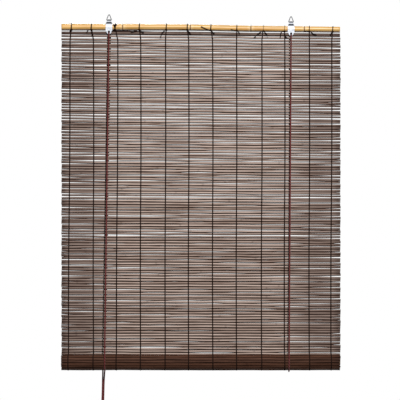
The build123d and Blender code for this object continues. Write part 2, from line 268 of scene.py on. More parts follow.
# Painted shade: the eyelet's throat is painted black, as the shade inside the hole.
throat = add_node(tree, "ShaderNodeMapRange", {
    "Value": eyelet_distance, "From Min": 2.3 * MM, "From Max": 2.9 * MM, "To Min": 0.97, "To Max": 0})
for share, tone in ((painted_bend_reflection, "#26272B"), (ring_fold_darkening, "#2C2D31"), (throat, "#0E0E10")):
    plating = add_node(tree, "ShaderNodeMix", {
        0: share.outputs[0], 6: plating.outputs[2], 7: linear(tone)}, data_type="RGBA")
dulling = add_node(tree, "ShaderNodeMapRange", {
    "Value": handling.outputs[0], "From Min": 0.35, "From Max": 0.7, "To Min": 0.48, "To Max": 0.64})
scratches = add_node(tree, "ShaderNodeBump", {
    "Height": brushing.outputs[0], "Strength": 0.15, "Distance": 0.05 * MM})
surface = add_node(tree, "ShaderNodeBsdfPrincipled", {
    "Base Color": plating.outputs[2], "Metallic": 1, "Roughness": dulling.outputs[0],
    "Normal": scratches.outputs[0]})
add_node(tree, "ShaderNodeOutputMaterial", {0: surface.outputs[0]})
for side in ("left", "right"):
    for kind in ("hanger_strap", "eyelet"):
        nodes[f"{side}_{kind}"].data.materials.clear()
        nodes[f"{side}_{kind}"].data.materials.append(plated_steel)

# Hanging rings: round galvanised wire, bent to a tall triangle with rounded corners and butted
# in the fold of the strap, where its straight bar can swing.
RING_WIRE_RADIUS = 0.85 * MM
RING_BASE_WIDTH = 11.3 * MM
RING_TOP_WIDTH = 2.2 * MM
RING_BEND_RADIUS = 1.4 * MM
RING_RISE = 12 * MM
RING_BAR_HEIGHT = 14 * MM
RING_BEND_STEPS = 8
WIRE_SIDES = 14

ring_wire, tree, place = new_material("galvanised_wire")
spangle = add_node(tree, "ShaderNodeTexNoise", {"Vector": place, "Scale": 1 / (1.5 * MM), "Detail": 4})
zinc = add_node(tree, "ShaderNodeMix", {
    0: spangle.outputs[0], 6: linear("#6F7073"), 7: linear("#3A3B3E")}, data_type="RGBA")
zinc_dulling = add_node(tree, "ShaderNodeMapRange", {
    "Value": spangle.outputs[0], "To Min": 0.55, "To Max": 0.75})
surface = add_node(tree, "ShaderNodeBsdfPrincipled", {
    "Base Color": zinc.outputs[2], "Metallic": 1, "Roughness": zinc_dulling.outputs[0]})
add_node(tree, "ShaderNodeOutputMaterial", {0: surface.outputs[0]})


def rounded_loop(corners, radius, steps):
    """A closed line through the corners, each rounded by an arc."""
    line = []
    for before, at, after in zip(corners[-1:] + corners[:-1], corners, corners[1:] + corners[:1]):
        arrive, leave = (before - at).normalized(), (after - at).normalized()
        half = arrive.angle(leave) / 2
        centre = at + (arrive + leave).normalized() * (radius / math.sin(half))
        first = at + arrive * (radius / math.tan(half)) - centre
        last = at + leave * (radius / math.tan(half)) - centre
        for step in range(steps + 1):
            line.append(centre + first.lerp(last, step / steps).normalized() * radius)
    return line


def tube_points(line, section, closed=False):
    """The points of a tube: section(distance along) gives its outline at each point of the line."""
    points, along = [], 0
    count = len(line)
    side = Vector((0, 1, 0))
    for index, at in enumerate(line):
        before = line[index - 1] if closed or index else at
        after = line[(index + 1) % count] if closed or index < count - 1 else at
        heading = (after - before).normalized()
        # Another side is taken where the line runs nearly along this one.
        if abs(heading.dot(side)) > 0.9:
            side = Vector((1, 0, 0)) if abs(heading.x) < 0.7 else Vector((0, 0, 1))
        side = (side - heading * heading.dot(side)).normalized()
        other = heading.cross(side)
        along += (at - before).length if index else 0
        for turn in section(along):
            points.append(at + side * turn[0] + other * turn[1])
    return points


def round_section(radius, sides):
    circle = [(radius * math.cos(math.tau * k / sides), radius * math.sin(math.tau * k / sides))
              for k in range(sides)]
    return lambda along: circle


for side, x in (("left", -CLIP_X), ("right", CLIP_X)):
    bar = pole_axis(x) + RING_BAR_HEIGHT
    corners = [Vector((x - RING_BASE_WIDTH / 2, 0, bar)), Vector((x + RING_BASE_WIDTH / 2, 0, bar)),
               Vector((x + RING_TOP_WIDTH / 2, 0, bar + RING_RISE)),
               Vector((x - RING_TOP_WIDTH / 2, 0, bar + RING_RISE))]
    line = rounded_loop(corners, RING_BEND_RADIUS, RING_BEND_STEPS)
    wire_points = tube_points(line, round_section(RING_WIRE_RADIUS, WIRE_SIDES), True)
    wire_faces = ring_faces(len(line), WIRE_SIDES, True)
    ring = new_piece(f"{side}_ring_wire", wire_points, wire_faces, ring_wire)
    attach(ring, f"{side}_ring")
    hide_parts(f"{side}_hanging_ring")

# Slat mat: 121 strips split from bamboo, stained dark brown, no two the same width and none quite
# straight. The strings hold them edge to edge, so most rows touch, and daylight shows where a
# narrow slat leaves its row open, oftener near the top.
SLAT_COUNT = 121
SLAT_THICKNESS = 1.4 * MM
FIRST_SLAT_WIDTH = 1.6 * MM
THREADING_GAP = 3.3 * MM
MAT_TOP = -32.617 * MM
MAT_BOTTOM = -742.8 * MM
SLAT_TOP_SHARE = 0.82
SLAT_BOTTOM_SHARE = 0.86
SLAT_WIDTH_UNEVEN = 0.04
SLAT_PLACE_UNEVEN = 0.03
SLAT_END_UNEVEN = 1.2 * MM
SLAT_LEFT_SPARE = 0.5 * MM
SLAT_RIGHT_SPARE = 1.4 * MM
SLAT_SEGMENTS = 20
SLAT_TAPER = 0.03
BENT_STEPS = 240
SLAT_TILT_UNEVEN = math.radians(0.08)
SLAT_DEPTH_UNEVEN = 0.2 * MM
SLAT_SHARP_ANGLE = math.radians(60)
MAT_WANDER = 4.2 * MM
MAT_WANDER_LENGTH = 100 * MM
MAT_SEED = 3.0
WANDER_SPREAD = 997.0
WANDER_DEPTH_SHARE = 0.35
OPEN_WIDTH_SHARES = (0.9, 1.04)
CLOSED_WIDTH_SHARES = (1.15, 1.26)
OPEN_ROW_SHARE = 0.09
OPEN_TOP_SHARE = 0.4
FIRST_SLAT_CLEARANCE = 0.15 * MM
SECOND_SLAT_GAP = 1.7 * MM
SECOND_SLAT_CROWN_LIGHT = 0.45
CORD_NOTCH = 2.5 * MM
CULM_LENGTH = 1900 * MM
CULM_NODE_SPACING = 580 * MM
ROWS_TOP = MAT_TOP - FIRST_SLAT_WIDTH - THREADING_GAP
SLAT_PITCH = (ROWS_TOP - MAT_BOTTOM) / (SLAT_COUNT - 1)

# Dark-stained bamboo, split and varnished: brown with paler fibres where the stain did not take,
# and a dark scar on each slat where the cane had a node. The hanging slats are paler, as painted light
# for the light from behind the mat, with painted light on their upper crowns and painted shade along
# their edges; their stain is darker towards their ends and in their soaked ends. The rolled ones have
# the dark colours, without painted light or shade.
slat_finishes = {}
for name, deep, plain, pale, painted_edge_shade, end_stain in (
        # The hanging slats' pale colours are painted light, for the light that comes through from behind the
        # mat.
        ("faded_bamboo_slats", "#8B7265", "#CBB3A6", "#DEC8BB", 1, 0.48),
        ("stained_bamboo_slats", "#2A1810", "#4A3024", "#69493A", 0, 0)):
    finish, tree, place = new_material(name)
    shade = add_node(tree, "ShaderNodeAttribute", attribute_name="shade").outputs["Fac"]
    slat_x = add_node(tree, "ShaderNodeSeparateXYZ", {0: place}).outputs[0]
    grain_place = add_node(tree, "ShaderNodeMapping", {
        "Vector": place, "Scale": (1 / (40 * MM), 1 / (0.7 * MM), 1 / (0.7 * MM))})
    grain = add_node(tree, "ShaderNodeTexNoise", {
        "Vector": grain_place.outputs[0], "Scale": 1, "Detail": 4, "Roughness": 0.6})
    patch_place = add_node(tree, "ShaderNodeMapping", {
        "Vector": place, "Scale": (1 / (110 * MM), 1 / (9 * MM), 1 / (9 * MM))})
    patches = add_node(tree, "ShaderNodeTexNoise", {
        "Vector": patch_place.outputs[0], "Scale": 1, "Detail": 2})
    bare = add_node(tree, "ShaderNodeAttribute", attribute_name="bare")
    from_middle = add_node(tree, "ShaderNodeMath", {0: slat_x}, operation="ABSOLUTE")
    slat_reach = add_node(tree, "ShaderNodeMath", {0: slat_x, 1: POLE_MIDDLE}, operation="SUBTRACT")
    slat_reach = add_node(tree, "ShaderNodeMath", {0: slat_reach.outputs[0]}, operation="ABSOLUTE")
    # Each slat was split from a length of cane of its own, so its scars lie elsewhere.
    culm = add_node(tree, "ShaderNodeMath", {0: shade, 1: CULM_LENGTH, 2: slat_x}, operation="MULTIPLY_ADD")
    scar_run = add_node(tree, "ShaderNodeMath", {
        0: culm.outputs[0], 1: CULM_NODE_SPACING / 2}, operation="PINGPONG")
    stain = add_node(tree, "ShaderNodeMix", {
        0: shade, 6: linear(deep), 7: linear(plain)}, data_type="RGBA")
    # Painted light and shade: the hanging slats are painted dark along their edges and lighter on their upper
    # crowns, by the share that each point of the slat carries.
    for value, low, high, start, end, tone in (
            (grain.outputs[0], 0.4, 0.75, 0, 1, pale),
            (patches.outputs[0], 0.5, 0.72, 0, 0.7, deep),
            (bare.outputs["Fac"], 0, 1, painted_edge_shade, 0, "#21150F"),
            (from_middle.outputs[0], 165 * MM, 250 * MM, 0, end_stain, "#43302A"),
            (slat_reach.outputs[0], 284 * MM, 294 * MM, 0, 0.4, "#2A1C17"),
            (scar_run.outputs[0], 0.8 * MM, 3 * MM, 0.25, 0, "#22130D")):
        share = add_node(tree, "ShaderNodeMapRange", {
            "Value": value, "From Min": low, "From Max": high, "To Min": start, "To Max": end})
        stain = add_node(tree, "ShaderNodeMix", {
            0: share.outputs[0], 6: stain.outputs[2], 7: linear(tone)}, data_type="RGBA")
    varnish = add_node(tree, "ShaderNodeMapRange", {
        "Value": grain.outputs[0], "To Min": 0.5, "To Max": 0.7})
    grooves = add_node(tree, "ShaderNodeBump", {
        "Height": grain.outputs[0], "Strength": 0.35, "Distance": 0.2 * MM})
    surface = add_node(tree, "ShaderNodeBsdfPrincipled", {
        "Base Color": stain.outputs[2], "Roughness": varnish.outputs[0], "Normal": grooves.outputs[0],
        "IOR": 1.5, "Specular IOR Level": 0.06})
    add_node(tree, "ShaderNodeOutputMaterial", {0: surface.outputs[0]})
    slat_finishes[name] = finish

# One slat of unit size, flat behind and rounded in front as the split cane is and a little narrower
# at its ends, that the node tree lays in every row. The third value of a point is how much painted light
# it takes on the hanging slats: none at the edges, which stay in painted shade, most on the upper crown.
slat_outline = [(0.5, -0.44, 0.5), (0.1, -0.5, 0), (-0.24, -0.36, 0), (-0.42, -0.2, 0.15), (-0.5, 0, 1),
                (-0.46, 0.2, 1), (-0.3, 0.36, 0.3), (0.1, 0.5, 0), (0.5, 0.44, 0.5)]
# A station is a share of the slat's length, and the share of its width that it has there.
slat_stations = [(0, 0.92), (0.014, 0.96), (SLAT_TAPER, 1)]
slat_stations += [(SLAT_TAPER + (1 - 2 * SLAT_TAPER) * segment / SLAT_SEGMENTS, 1)
                  for segment in range(1, SLAT_SEGMENTS)]
slat_stations += [(1 - share, width) for share, width in reversed(slat_stations[:3])]
blank_points = [(share - 0.5, y, z * width) for share, width in slat_stations for y, z, _ in slat_outline]
slat_blank = new_piece("slat_blank", blank_points, ring_faces(len(slat_stations), len(slat_outline)),
                       slat_finishes["faded_bamboo_slats"])
slat_blank.data.set_sharp_from_angle(angle=SLAT_SHARP_ANGLE)
bare = slat_blank.data.attributes.new("bare", "FLOAT", "POINT").data
bare.foreach_set("value", [share for _ in slat_stations for _, _, share in slat_outline])

slat_tree = bpy.data.node_groups.new("laid_slats", "GeometryNodeTree")
for name, kind in (("Places", "Geometry"), ("Slat", "Object"), ("Finish", "Material"),
                   ("Wander", "Float"), ("Wander length", "Float"), ("Seed", "Float")):
    slat_tree.interface.new_socket(name, in_out="INPUT", socket_type=f"NodeSocket{kind}")
slat_tree.interface.new_socket("Slats", in_out="OUTPUT", socket_type="NodeSocketGeometry")
given = add_node(slat_tree, "NodeGroupInput").outputs
blank = add_node(slat_tree, "GeometryNodeObjectInfo", {"Object": given["Slat"]})
size = add_node(slat_tree, "GeometryNodeInputNamedAttribute", {"Name": "size"}, data_type="FLOAT_VECTOR")
turn = add_node(slat_tree, "GeometryNodeInputNamedAttribute", {"Name": "turn"}, data_type="FLOAT_VECTOR")
shade = add_node(slat_tree, "GeometryNodeInputNamedAttribute", {"Name": "shade"}, data_type="FLOAT")
laid = add_node(slat_tree, "GeometryNodeInstanceOnPoints", {
    "Points": given["Places"], "Instance": blank.outputs["Geometry"],
    "Rotation": turn.outputs[0], "Scale": size.outputs[0]})
solid = add_node(slat_tree, "GeometryNodeRealizeInstances", {0: laid.outputs[0]})
at = add_node(slat_tree, "ShaderNodeSeparateXYZ", {
    0: add_node(slat_tree, "GeometryNodeInputPosition").outputs[0]})
run = add_node(slat_tree, "ShaderNodeMath", {
    0: at.outputs[0], 1: given["Wander length"]}, operation="DIVIDE")
row = add_node(slat_tree, "ShaderNodeMath", {
    0: shade.outputs[0], 1: WANDER_SPREAD, 2: given["Seed"]}, operation="MULTIPLY_ADD")
drift_place = add_node(slat_tree, "ShaderNodeCombineXYZ", {0: run.outputs[0], 1: row.outputs[0]})
drift = add_node(slat_tree, "ShaderNodeTexNoise", {
    "Vector": drift_place.outputs[0], "Scale": 1, "Detail": 2})
centred = add_node(slat_tree, "ShaderNodeVectorMath", {
    0: drift.outputs[1], 1: (0.5, 0.5, 0.5)}, operation="SUBTRACT")
across = add_node(slat_tree, "ShaderNodeVectorMath", {
    0: centred.outputs[0], 1: (0, WANDER_DEPTH_SHARE, 1)}, operation="MULTIPLY")
wander = add_node(slat_tree, "ShaderNodeVectorMath", {
    0: across.outputs[0], "Scale": given["Wander"]}, operation="SCALE")
bent = add_node(slat_tree, "GeometryNodeSetPosition", {0: solid.outputs[0], "Offset": wander.outputs[0]})
finished = add_node(slat_tree, "GeometryNodeSetMaterial", {
    0: bent.outputs[0], "Material": given["Finish"]})
add_node(slat_tree, "NodeGroupOutput", {0: finished.outputs[0]})


def lay_slats(name, places, finish, wander, wander_length, seed):
    """Slats laid by the node tree. A place is (centre, size, turn, shade)."""
    starts = bpy.data.meshes.new(name)
    starts.from_pydata([place[0] for place in places], [], [])
    for attribute, kind, field, key in (("size", "FLOAT_VECTOR", "vector", 1),
                                        ("turn", "FLOAT_VECTOR", "vector", 2),
                                        ("shade", "FLOAT", "value", 3)):
        values = starts.attributes.new(attribute, kind, "POINT").data
        for value, place in zip(values, places):
            setattr(value, field, place[key])
    layer = bpy.data.objects.new(f"{name}_places", starts)
    bpy.context.scene.collection.objects.link(layer)
    modifier = layer.modifiers.new("slats", "NODES")
    modifier.node_group = slat_tree
    inputs = {"Slat": slat_blank, "Finish": slat_finishes[finish], "Wander": wander,
              "Wander length": wander_length, "Seed": seed}
    for item in slat_tree.interface.items_tree:
        if item.in_out == "INPUT" and item.name in inputs:
            modifier[item.identifier] = inputs[item.name]
    mesh = bpy.data.meshes.new_from_object(layer.evaluated_get(bpy.context.evaluated_depsgraph_get()))
    mesh.name = name
    bpy.data.objects.remove(layer)
    piece = bpy.data.objects.new(name, mesh)
    bpy.context.scene.collection.objects.link(piece)
    return piece


def uneven(index, step):
    """A share from -1 to 1 that jumps about from one index to the next."""
    return 2 * (index * step % 1) - 1


def slat_slope(row):
    return POLE_FALL / POLE_LENGTH * (1 - row / (SLAT_COUNT - 1))


def slat_row(row):
    """Centre height and width of a row below the first, as the solid mat has them."""
    share = SLAT_TOP_SHARE + (SLAT_BOTTOM_SHARE - SLAT_TOP_SHARE) * row / (SLAT_COUNT - 1)
    shift = 0
    if row > 1:
        share += SLAT_WIDTH_UNEVEN * uneven(row, 0.618)
        shift = SLAT_PITCH * SLAT_PLACE_UNEVEN * uneven(row, 0.414)
    return ROWS_TOP - SLAT_PITCH * (row - 1 + share / 2) + shift, SLAT_PITCH * share


bamboo_luck = random.Random(7)
mat_places = []
for row in range(2, SLAT_COUNT):
    height, width = slat_row(row)
    left = -POLE_LENGTH / 2 - SLAT_LEFT_SPARE + SLAT_END_UNEVEN * (1 + uneven(row, 0.732)) / 2
    right = POLE_LENGTH / 2 + SLAT_RIGHT_SPARE - SLAT_END_UNEVEN * (1 + uneven(row, 0.236)) / 2
    tilt = math.atan(slat_slope(row)) + bamboo_luck.uniform(-SLAT_TILT_UNEVEN, SLAT_TILT_UNEVEN)
    middle = (left + right) / 2
    open_row = bamboo_luck.random() < OPEN_ROW_SHARE + OPEN_TOP_SHARE * (1 - row / SLAT_COUNT) ** 2
    width *= bamboo_luck.uniform(*(OPEN_WIDTH_SHARES if open_row else CLOSED_WIDTH_SHARES))
    centre = (POLE_MIDDLE + middle, bamboo_luck.uniform(-SLAT_DEPTH_UNEVEN, SLAT_DEPTH_UNEVEN),
              height - middle * math.tan(tilt))
    mat_places.append((centre, (right - left, SLAT_THICKNESS, width), (0, tilt, 0), bamboo_luck.random()))
slat_mat = lay_slats("hanging_slats", mat_places, "faded_bamboo_slats",
                     MAT_WANDER, MAT_WANDER_LENGTH, MAT_SEED)
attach(slat_mat, "head")
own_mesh(slat_mat)
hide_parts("slat_mat")


def bent_slat(name, edges, crown_light_share):
    """A slat that follows two edges: edges(x) gives the heights of its top and its bottom."""
    points, shares = [], []
    for step in range(BENT_STEPS + 1):
        x = POLE_LEFT + POLE_LENGTH * step / BENT_STEPS
        top, bottom = edges(x)
        for y, z, share in slat_outline:
            points.append((x, y * SLAT_THICKNESS, (top + bottom) / 2 + z * (top - bottom)))
            shares.append(share * crown_light_share)
    faces = ring_faces(BENT_STEPS + 1, len(slat_outline))
    slat = new_piece(name, points, faces, slat_finishes["faded_bamboo_slats"])
    slat.data.set_sharp_from_angle(angle=SLAT_SHARP_ANGLE)
    slat.data.attributes.new("bare", "FLOAT", "POINT").data.foreach_set("value", shares)
    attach(slat, "head")
    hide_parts("slat_mat")
    return slat


def first_edges(x):
    """The first slat lies along the underside of the pole."""
    top = pole_axis(x) - pole_radius(x) - FIRST_SLAT_CLEARANCE
    return top, top - FIRST_SLAT_WIDTH


def second_edges(x):
    """The second slat is split wide, and cut away where a cord goes through over it."""
    height, width = slat_row(1)
    straight = height + width / 2 - slat_slope(1) * (x - POLE_MIDDLE)
    top = max(first_edges(x)[1] - SECOND_SLAT_GAP, straight)
    whole = max(0, min(1, abs(abs(x) - CLIP_X) / CORD_NOTCH - 1))
    return straight + (top - straight) * whole, straight - width


# The first slat is thin enough to bend, so the strings draw it up along the crooked pole.
# The first slat takes no painted crown light, so it is painted dark all over as the shade under the pole; the
# second takes less than half.
bent_slat("first_slat", first_edges, 0)
second_slat = bent_slat("second_slat", second_edges, SECOND_SLAT_CROWN_LIGHT)
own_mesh(second_slat)

# Warp strings: twelve dark two-ply strings, each looped over the pole and knotted under it.
# One leg runs down the front of the slats and one down the back, and the cut ends curl loose.
STRING_COUNT = 12
STRING_MARGIN = 18.1 * MM
STRING_HALF_WIDTH = 1.25 * MM
STRING_HALF_DEPTH = 0.45 * MM
STRING_SIDES = 8
STRING_CLEARANCE = 0.25 * MM
LEG_DEPTH = 1.25 * MM
LEG_TOP = -31.5 * MM
LEG_STEPS = 8
TURN_START = math.radians(-62)
TURN_SWEEP = math.radians(304)
TURN_STEPS = 24
TURN_SLANT = 0.5 * MM
TUCK_DEPTH = 1.7 * MM
TUCK_HEIGHT = LEG_TOP - 1 * MM
STRING_KNOT_DEPTH = -3.2 * MM
STRING_KNOT_DROP_SHARE = 0.93
STRING_KNOT_ACROSS = 2 * MM
STRING_KNOT_HEIGHT = 1.1 * MM
STRING_KNOT_RADIUS = 1.1 * MM
STRING_KNOT_SIDES = 7
END_RADIUS = 1.05 * MM
END_SIDES = 6
END_STEPS = 6
# Where a leg goes on its way down: its height, its distance from the mat's middle, its shares of the
# way from the pole's shift to the one below and from there to the roll's, and its wave to the side.
LEG_PLACES = (
    (LEG_TOP, 1.6 * MM, 0.3, 0, 0),
    (-48 * MM, LEG_DEPTH, 0.8, 0, 0),
    (-72 * MM, LEG_DEPTH, 1, 0, 0),
    (-290 * MM, LEG_DEPTH, 1, 1 / 3, 0.6 * MM),
    (-520 * MM, LEG_DEPTH, 1, 2 / 3, -0.6 * MM),
    (MAT_BOTTOM, LEG_DEPTH, 1, 1, 0),
)
# How far each string has shifted, in millimetres, on the pole, below it and at the roll.
STRING_SHIFTS = (
    (3.4, 0.4, -3.0), (-5.0, -0.4, -0.4), (-5.2, 0.8, -2.2), (-4.2, -1.0, -1.5),
    (2.6, 1.1, 0.4), (-3.4, -0.2, -0.6), (-3.9, 0, 0.4), (0.8, 0.4, 0),
    (6.6, 3.6, 2.8), (0.9, 1.7, 0.9), (3.0, 3.4, 3.0), (2.2, 0.4, -1.5),
)
# The loose ends at each knot: steps to the right and up from the knot, in millimetres. An end stands
# off the mat by a least distance, and by shares of its reach and of its rise over the knot's top.
END_FORWARD = 1.2
END_REACH_SHARE = 0.06
END_RISE_SHARE = 0.5
STRING_KNOT_TOP = 2
STRING_ENDS = (
    (((-2, -2), (-4, -3.4)),),
    (((-6, -1), (-10, -5)), ((1, -6), (2, -12))),
    (((-2, 10), (-4, 11.5)), ((2, 10), (4.5, 11.5))),
    (((-8, -2), (-18, -4)), ((4, -3), (10, -6))),
    (((-4, -2), (-9, -7), (-13, -18)),),
    (((-10, 0.5), (-20, -1)), ((3, -3), (8, -10))),
    (((-10, 3), (-21, 8)), ((3, -3), (8, -7))),
    (((-6, 1), (-13, 3)), ((3, -2), (6.5, -5))),
    (((-8, -3), (-13, -7), (-20, -14)), ((6, -5), (10, -11))),
    (((-4, 0), (-8, -4), (-9, -13)), ((1, -7), (5, -14), (14, -17))),
    (((-6, 1), (-13, -1)), ((6, -3), (16, -8))),
    (((-3, -3), (-6, -8)),),
)

# Waxed cotton string: nearly black, with a fine lay of two plies, each painted lighter along it as painted
# sheen.
waxed_string, tree, place = new_material("waxed_cotton_string")
plies = add_node(tree, "ShaderNodeTexWave", {
    "Vector": place, "Scale": 0.314 / (2.4 * MM), "Distortion": 1.5, "Detail": 1},
    wave_type="BANDS", bands_direction="DIAGONAL")
# Painted sheen: lighter bands along the plies.
string_tone = add_node(tree, "ShaderNodeMix", {
    0: plies.outputs[1], 6: linear("#150C09"), 7: linear("#281912")}, data_type="RGBA")
lay = add_node(tree, "ShaderNodeBump", {
    "Height": plies.outputs[1], "Strength": 0.5, "Distance": 0.3 * MM})
surface = add_node(tree, "ShaderNodeBsdfPrincipled", {
    "Base Color": string_tone.outputs[2], "Roughness": 0.8, "Normal": lay.outputs[0],
    "Specular IOR Level": 0.05})
add_node(tree, "ShaderNodeOutputMaterial", {0: surface.outputs[0]})


def flat_section(half_across, half_deep, sides):
    """A flattened round, wide along the tube's second direction."""
    outline = [(half_deep * math.cos(math.tau * k / sides), half_across * math.sin(math.tau * k / sides))
               for k in range(sides)]
    return lambda along: outline


def smooth_line(corners, steps):
    """A line through all the corners that bends smoothly at each."""
    ends = [2 * corners[0] - corners[1], *corners, 2 * corners[-1] - corners[-2]]
    line = []
    for a, b, c, d in zip(ends, ends[1:], ends[2:], ends[3:]):
        for step in range(steps):
            t = step / steps
            line.append(0.5 * (2 * b + (c - a) * t + (2 * a - 5 * b + 4 * c - d) * t ** 2
                               + (3 * b - a - 3 * c + d) * t ** 3))
    return line + [corners[-1]]


def join_tubes(name, tubes, material):
    """One mesh of several tubes. A tube is (line, section, sides, closed)."""
    points, faces = [], []
    for line, section, sides, closed in tubes:
        start = len(points)
        points += tube_points(line, section, closed)
        faces += [tuple(start + corner for corner in face) for face in ring_faces(len(line), sides, closed)]
    return new_piece(name, points, faces, material)


def overhand_knot(centre, across, height, steps=48):
    """The closed line of a three-lobed knot, pulled tight."""
    line = []
    for step in range(steps):
        t = math.tau * step / steps
        line.append(centre + Vector((across / 3 * (math.sin(t) + 2 * math.sin(2 * t)),
                                     across / 3 * (math.cos(t) - 2 * math.cos(2 * t)),
                                     -height * math.sin(3 * t))))
    return line


string_xs = [POLE_LEFT + STRING_MARGIN + k * (POLE_LENGTH - 2 * STRING_MARGIN) / (STRING_COUNT - 1)
             for k in range(STRING_COUNT)]
leg_section = flat_section(STRING_HALF_WIDTH, STRING_HALF_DEPTH, STRING_SIDES)
end_section = round_section(END_RADIUS, END_SIDES)
knot_section = round_section(STRING_KNOT_RADIUS, STRING_KNOT_SIDES)
legs, ties = [], []
for x, shifts, ends in zip(string_xs, STRING_SHIFTS, STRING_ENDS):
    on_pole, below, at_roll = (x + shift * MM for shift in shifts)
    axis = pole_axis(on_pole)
    reach = pole_radius(on_pole) + STRING_CLEARANCE + STRING_HALF_DEPTH
    for front in (-1, 1):
        down = []
        for height, depth, to_below, to_roll, wave in LEG_PLACES:
            leg_x = on_pole + (below - on_pole) * to_below + (at_roll - below) * to_roll + wave
            down.append(Vector((leg_x, front * depth, height)))
        legs.append((smooth_line(down, LEG_STEPS), leg_section, STRING_SIDES, False))
    turns = [Vector((on_pole, -TUCK_DEPTH, TUCK_HEIGHT))]
    for step in range(TURN_STEPS + 1):
        angle = TURN_START + TURN_SWEEP * step / TURN_STEPS
        turns.append(Vector((on_pole + TURN_SLANT * math.sin(angle), -reach * math.cos(angle),
                             axis + reach * math.sin(angle))))
    turns.append(Vector((on_pole, TUCK_DEPTH, TUCK_HEIGHT)))
    ties.append((turns, leg_section, STRING_SIDES, False))
    knot = Vector((on_pole, STRING_KNOT_DEPTH, axis - reach * STRING_KNOT_DROP_SHARE))
    knot_line = overhand_knot(knot, STRING_KNOT_ACROSS, STRING_KNOT_HEIGHT)
    ties.append((knot_line, knot_section, STRING_KNOT_SIDES, True))
    for end in ends:
        corners = [knot]
        for right, up in end:
            forward = END_FORWARD + END_REACH_SHARE * abs(right)
            forward += END_RISE_SHARE * max(up - STRING_KNOT_TOP, 0)
            corners.append(knot + Vector((right, -forward, up)) * MM)
        ties.append((smooth_line(corners, END_STEPS), end_section, END_SIDES, False))
string_names = [f"warp_string_{k + 1:02d}" for k in range(STRING_COUNT)]
string_legs = join_tubes("warp_string_legs", legs, waxed_string)
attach(string_legs, "head")
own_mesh(string_legs)
string_ties = join_tubes("warp_string_ties", ties, waxed_string)
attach(string_ties, "head")
for piece in (string_legs, string_ties):
    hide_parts(*string_names)

# Mat roll: the lower end of the same mat, wound round the bottom pole towards the viewer.
# Its slats stand a little apart, because the mat opens where it bends, and the strings of the outer
# turn go round with them.
ROLL_DEPTH = -744 * MM
ROLL_RADIUS = 17.8 * MM
ROLL_LEAD = 1.2 * MM
ROLL_TURN_PITCH = 2.9 * MM
ROLL_SLAT_WIDTH = 4.9 * MM
ROLL_SLAT_PITCH = 5.9 * MM
ROLL_INNER_RADIUS = 5.6 * MM
ROLL_FIRST_SLAT = 1.95 * MM
ROLL_END_UNEVEN = 2 * MM
ROLL_WIDTH_SHARES = (0.86, 1.08)
ROLL_WANDER = 2.6 * MM
ROLL_WANDER_LENGTH = 80 * MM
ROLL_SEED = 8.0
BAND_START = math.radians(4)
BAND_SWEEP = math.radians(344)
BAND_STEPS = 48
BAND_CLEARANCE = 0.3 * MM


def on_roll(x, radius, angle):
    """A point round the roll's axis. The angle goes from the back down and towards the viewer."""
    return Vector((x, radius * math.cos(angle) - ROLL_RADIUS, ROLL_DEPTH - radius * math.sin(angle)))


roll_places = []
angle = (ROLL_LEAD / 2 + ROLL_FIRST_SLAT) / ROLL_RADIUS
radius = ROLL_RADIUS - ROLL_TURN_PITCH * angle / math.tau
while radius > ROLL_INNER_RADIUS:
    left = POLE_LEFT + bamboo_luck.uniform(0, ROLL_END_UNEVEN)
    right = POLE_RIGHT - bamboo_luck.uniform(0, ROLL_END_UNEVEN)
    slat_size = (right - left, SLAT_THICKNESS, ROLL_SLAT_WIDTH * bamboo_luck.uniform(*ROLL_WIDTH_SHARES))
    centre = on_roll((left + right) / 2, radius, angle)
    roll_places.append((centre, slat_size, (-angle, 0, 0), bamboo_luck.random()))
    angle += ROLL_SLAT_PITCH / radius
    radius = ROLL_RADIUS - ROLL_TURN_PITCH * angle / math.tau
mat_roll = lay_slats("rolled_slats", roll_places, "stained_bamboo_slats",
                     ROLL_WANDER, ROLL_WANDER_LENGTH, ROLL_SEED)
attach(mat_roll, "roll")
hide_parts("mat_roll")

bands = []
for x, shifts in zip(string_xs, STRING_SHIFTS):
    at_roll = x + shifts[2] * MM
    turn_line = []
    for step in range(BAND_STEPS + 1):
        angle = BAND_START + BAND_SWEEP * step / BAND_STEPS
        reach = ROLL_RADIUS - ROLL_TURN_PITCH * angle / math.tau + SLAT_THICKNESS / 2 + BAND_CLEARANCE
        turn_line.append(on_roll(at_roll, reach, angle))
    bands.append((turn_line, leg_section, STRING_SIDES, False))
roll_strings = join_tubes("roll_string_turns", bands, waxed_string)
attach(roll_strings, "roll")

# Bottom pole: a thin cane in the core of the roll, seen only at the roll's ends.
nodes["bottom_pole"].data.materials.clear()
nodes["bottom_pole"].data.materials.append(cane_skin)

# Lift cords: one braided cord on each side goes from its anchor knot in the strap down behind the
# mat, under the roll and up the front to the eyelet. The bight under the roll goes up with it.
CORD_RADIUS = 1.6 * MM
CORD_SIDES = 12
CORD_PLAIT = 7 * MM
CORD_PLAITS = 3
CORD_PLAIT_RELIEF = 0.1
CORD_STEP = 1.6 * MM
BIGHT_RADIUS = 20.2 * MM
BIGHT_STEPS = 36
CORD_CLEARANCE = 0.3 * MM
STRAP_REACH = 1.05 * MM
CORD_TAIL = 12 * MM
EYELET_BEND = 3 * MM
EYELET_FLANGE = 0.5 * MM
ANCHOR_OFFSET = 3 * MM
ANCHOR_DROP = 8 * MM
BACK_CORD_GAP = 0.35 * MM
LEFT_FOOT_SHIFT = -8.7 * MM
RIGHT_FOOT_SHIFT = -5 * MM
CORD_BEND_STEPS = 6
ANCHOR_BEND = 3 * MM
ANCHOR_BEND_SHARE = 0.7
ANCHOR_KNOT_ACROSS = 1.5 * MM
ANCHOR_KNOT_HEIGHT = 1 * MM
ANCHOR_KNOT_RADIUS = 0.8 * MM
ANCHOR_KNOT_SIDES = 8

